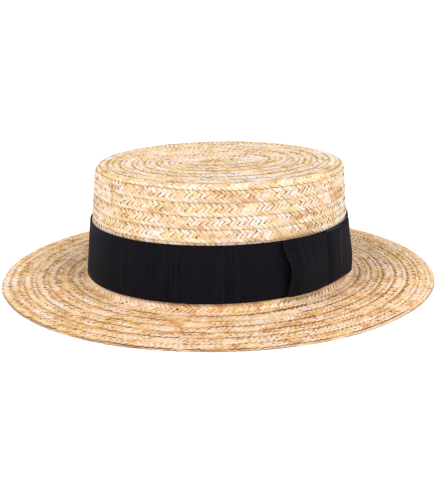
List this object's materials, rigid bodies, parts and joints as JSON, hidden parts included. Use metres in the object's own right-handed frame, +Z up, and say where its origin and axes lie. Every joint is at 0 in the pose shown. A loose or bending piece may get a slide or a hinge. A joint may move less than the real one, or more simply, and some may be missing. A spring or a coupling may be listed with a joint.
{
  "type": "straw boater hat",
  "caption": "Stiff straw boater sewn from flat braid, with a flat-topped oval crown, a wide flat brim, a dark ribbon band and a flat side bow.",
  "frame": {"origin": "centre of the brim's footprint, on the surface that the hat stands on", "axes": "+Z up through the crown, -Y to the front of the hat, +X to the wearer's left, where the bow is"},
  "size_m": [0.2974, 0.3318, 0.0887],
  "materials": {
    "straw_crown": "pale golden plaited straw, sewn in rows, slightly glossy",
    "straw_brim": "golden plaited straw, sewn in rows, slightly glossy",
    "ribbon": "black ribbed ribbon, matte with a faint sheen"
  },
  "bodies": {
    "root": {"crown": "straw_crown", "brim": "straw_brim", "hat_band": "ribbon", "bow_front_loop": "ribbon", "bow_rear_loop": "ribbon", "bow_knot": "ribbon"}
  },
  "joints": []
}
